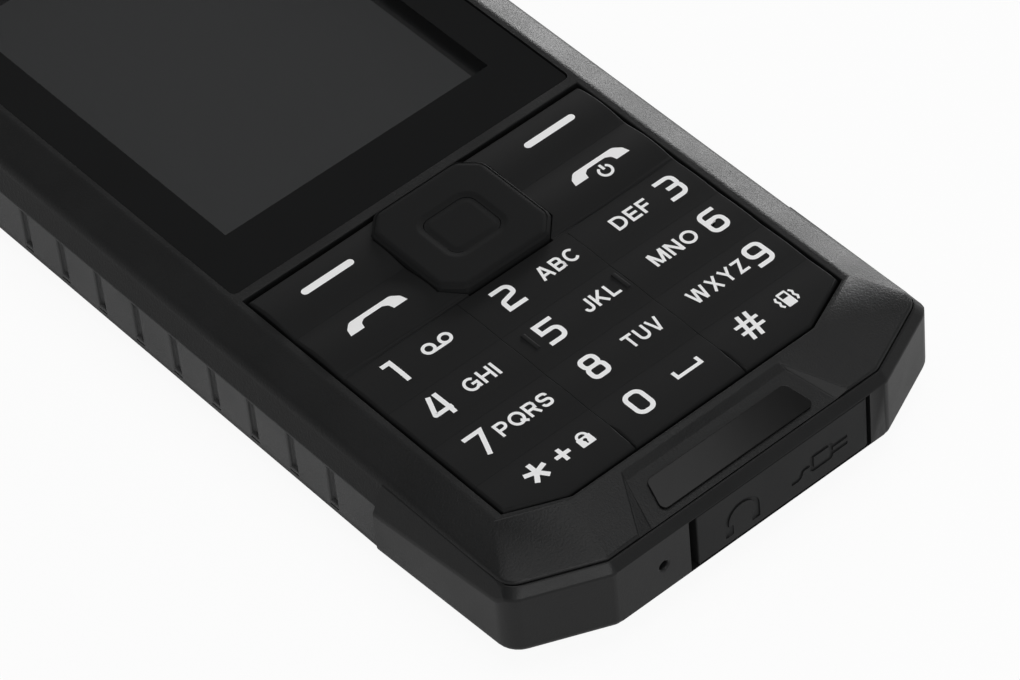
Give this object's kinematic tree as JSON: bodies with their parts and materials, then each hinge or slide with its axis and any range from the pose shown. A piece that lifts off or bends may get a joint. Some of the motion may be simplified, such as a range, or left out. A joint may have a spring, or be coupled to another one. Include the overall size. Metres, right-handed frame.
{
  "type": "feature phone",
  "caption": "Rugged bar phone with a display, number keypad, four-way rocker, grooved side grips, socket door and screwed battery cover.",
  "frame": {"origin": "middle of the back face, on the surface that the phone lies on", "axes": "+Z out of the display, +Y from the keypad towards the earpiece, +X to the right seen from the front"},
  "size_m": [0.0626, 0.134, 0.016],
  "materials": {
    "housing": "fine satin moulding grain",
    "frame": "satin moulded plastic",
    "rail": "fine spark texture",
    "keys": "satin coated silicone",
    "nav": "satin coated silicone",
    "mat": "plain silicone",
    "window": "polished hard coat, black border printed behind",
    "tape": "adhesive foam",
    "display": "switched-off display",
    "flex": "polyimide",
    "earpiece": "plated can",
    "mesh": "black woven mesh",
    "badge": "polished bare plate",
    "seal": "matt",
    "steel": "tinned sheet",
    "board": "solder mask",
    "socket": "moulded",
    "contact": "gold plated",
    "lens": "polished cover",
    "led": "phosphor",
    "torch": "clear moulding",
    "battery": "wrapped cell",
    "screw": "dark plated",
    "door": "matt soft-touch"
  },
  "bodies": {
    "phone": {"front_housing": "housing", "display_window": "window", "window_adhesive": "tape", "lcd_module": "display", "display_flex": "flex", "earpiece": "earpiece", "earpiece_mesh": "mesh", "badge_plate": "badge", "housing_seal": "seal", "keypad_mat": "mat", "snap_domes": "steel", "main_board": "board", "shield_cans": "steel", "usb_socket": "steel", "headphone_jack": "socket", "microphone": "earpiece", "vibration_motor": "steel", "antenna": "contact", "loudspeaker": "socket", "speaker_mesh": "mesh", "camera_module": "socket", "camera_window": "lens", "torch_led": "led", "torch_lens": "torch", "rear_frame": "frame", "left_rail": "rail", "right_rail": "rail", "battery": "battery", "battery_contacts": "contact", "sim_socket": "steel", "memory_card_socket": "steel", "case_screws": "screw"},
    "key_1": {"key_1": "keys"},
    "key_2": {"key_2": "keys"},
    "key_3": {"key_3": "keys"},
    "key_4": {"key_4": "keys"},
    "key_5": {"key_5": "keys"},
    "key_6": {"key_6": "keys"},
    "key_7": {"key_7": "keys"},
    "key_8": {"key_8": "keys"},
    "key_9": {"key_9": "keys"},
    "key_star": {"key_star": "keys"},
    "key_0": {"key_0": "keys"},
    "key_hash": {"key_hash": "keys"},
    "soft_key_left": {"soft_key_left": "keys"},
    "soft_key_right": {"soft_key_right": "keys"},
    "call_key": {"call_key": "keys"},
    "end_key": {"end_key": "keys"},
    "ok_key": {"ok_key": "nav"},
    "nav_pad": {"nav_pad": "mat"},
    "nav_ring": {"nav_ring": "nav"},
    "port_door": {"port_door": "door"},
    "battery_cover": {"battery_cover": "frame", "cover_seal": "seal"},
    "cover_screw_left": {"cover_screw_left": "screw"},
    "cover_screw_right": {"cover_screw_right": "screw"}
  },
  "joints": [
    {"name": "key_1_press", "type": "slide", "parent": "phone", "child": "key_1", "axis": [0, 0, -1], "range_m": [0, 0.00035], "stiffness_N_per_m": 3000},
    {"name": "key_2_press", "type": "slide", "parent": "phone", "child": "key_2", "axis": [0, 0, -1], "range_m": [0, 0.00035], "stiffness_N_per_m": 3000},
    {"name": "key_3_press", "type": "slide", "parent": "phone", "child": "key_3", "axis": [0, 0, -1], "range_m": [0, 0.00035], "stiffness_N_per_m": 3000},
    {"name": "key_4_press", "type": "slide", "parent": "phone", "child": "key_4", "axis": [0, 0, -1], "range_m": [0, 0.00035], "stiffness_N_per_m": 3000},
    {"name": "key_5_press", "type": "slide", "parent": "phone", "child": "key_5", "axis": [0, 0, -1], "range_m": [0, 0.00035], "stiffness_N_per_m": 3000},
    {"name": "key_6_press", "type": "slide", "parent": "phone", "child": "key_6", "axis": [0, 0, -1], "range_m": [0, 0.00035], "stiffness_N_per_m": 3000},
    {"name": "key_7_press", "type": "slide", "parent": "phone", "child": "key_7", "axis": [0, 0, -1], "range_m": [0, 0.00035], "stiffness_N_per_m": 3000},
    {"name": "key_8_press", "type": "slide", "parent": "phone", "child": "key_8", "axis": [0, 0, -1], "range_m": [0, 0.00035], "stiffness_N_per_m": 3000},
    {"name": "key_9_press", "type": "slide", "parent": "phone", "child": "key_9", "axis": [0, 0, -1], "range_m": [0, 0.00035], "stiffness_N_per_m": 3000},
    {"name": "key_star_press", "type": "slide", "parent": "phone", "child": "key_star", "axis": [0, 0, -1], "range_m": [0, 0.00035], "stiffness_N_per_m": 3000},
    {"name": "key_0_press", "type": "slide", "parent": "phone", "child": "key_0", "axis": [0, 0, -1], "range_m": [0, 0.00035], "stiffness_N_per_m": 3000},
    {"name": "key_hash_press", "type": "slide", "parent": "phone", "child": "key_hash", "axis": [0, 0, -1], "range_m": [0, 0.00035], "stiffness_N_per_m": 3000},
    {"name": "soft_key_left_press", "type": "slide", "parent": "phone", "child": "soft_key_left", "axis": [0, 0, -1], "range_m": [0, 0.00035], "stiffness_N_per_m": 3000},
    {"name": "soft_key_right_press", "type": "slide", "parent": "phone", "child": "soft_key_right", "axis": [0, 0, -1], "range_m": [0, 0.00035], "stiffness_N_per_m": 3000},
    {"name": "call_key_press", "type": "slide", "parent": "phone", "child": "call_key", "axis": [0, 0, -1], "range_m": [0, 0.00035], "stiffness_N_per_m": 3000},
    {"name": "end_key_press", "type": "slide", "parent": "phone", "child": "end_key", "axis": [0, 0, -1], "range_m": [0, 0.00035], "stiffness_N_per_m": 3000},
    {"name": "ok_key_press", "type": "slide", "parent": "phone", "child": "ok_key", "axis": [0, 0, -1], "range_m": [0, 0.00035], "stiffness_N_per_m": 3000},
    {"name": "nav_tilt_x", "type": "hinge", "parent": "phone", "child": "nav_pad", "pos_m": [0, -0.0198, 0.01275], "axis": [1, 0, 0], "range_deg": [-2.2, 2.2], "stiffness_Nm_per_rad": 0.2},
    {"name": "nav_tilt_y", "type": "hinge", "parent": "nav_pad", "child": "nav_ring", "pos_m": [0, -0.0198, 0.01275], "axis": [0, 1, 0], "range_deg": [-2.2, 2.2], "stiffness_Nm_per_rad": 0.2},
    {"name": "port_door_hinge", "type": "hinge", "parent": "phone", "child": "port_door", "pos_m": [0.0161, -0.0662, 0.00775], "axis": [0, 0, 1], "range_deg": [0, 95]},
    {"name": "battery_cover_lift", "type": "slide", "parent": "phone", "child": "battery_cover", "axis": [0, 0, -1], "range_m": [0, 0.02]},
    {"name": "cover_screw_left_turn", "type": "hinge", "parent": "battery_cover", "child": "cover_screw_left", "pos_m": [-0.0199, -0.0493, 0.001], "axis": [0, 0, 1], "range_deg": [0, 1080]},
    {"name": "cover_screw_right_turn", "type": "hinge", "parent": "battery_cover", "child": "cover_screw_right", "pos_m": [0.0199, -0.0493, 0.001], "axis": [0, 0, 1], "range_deg": [0, 1080]}
  ]
}
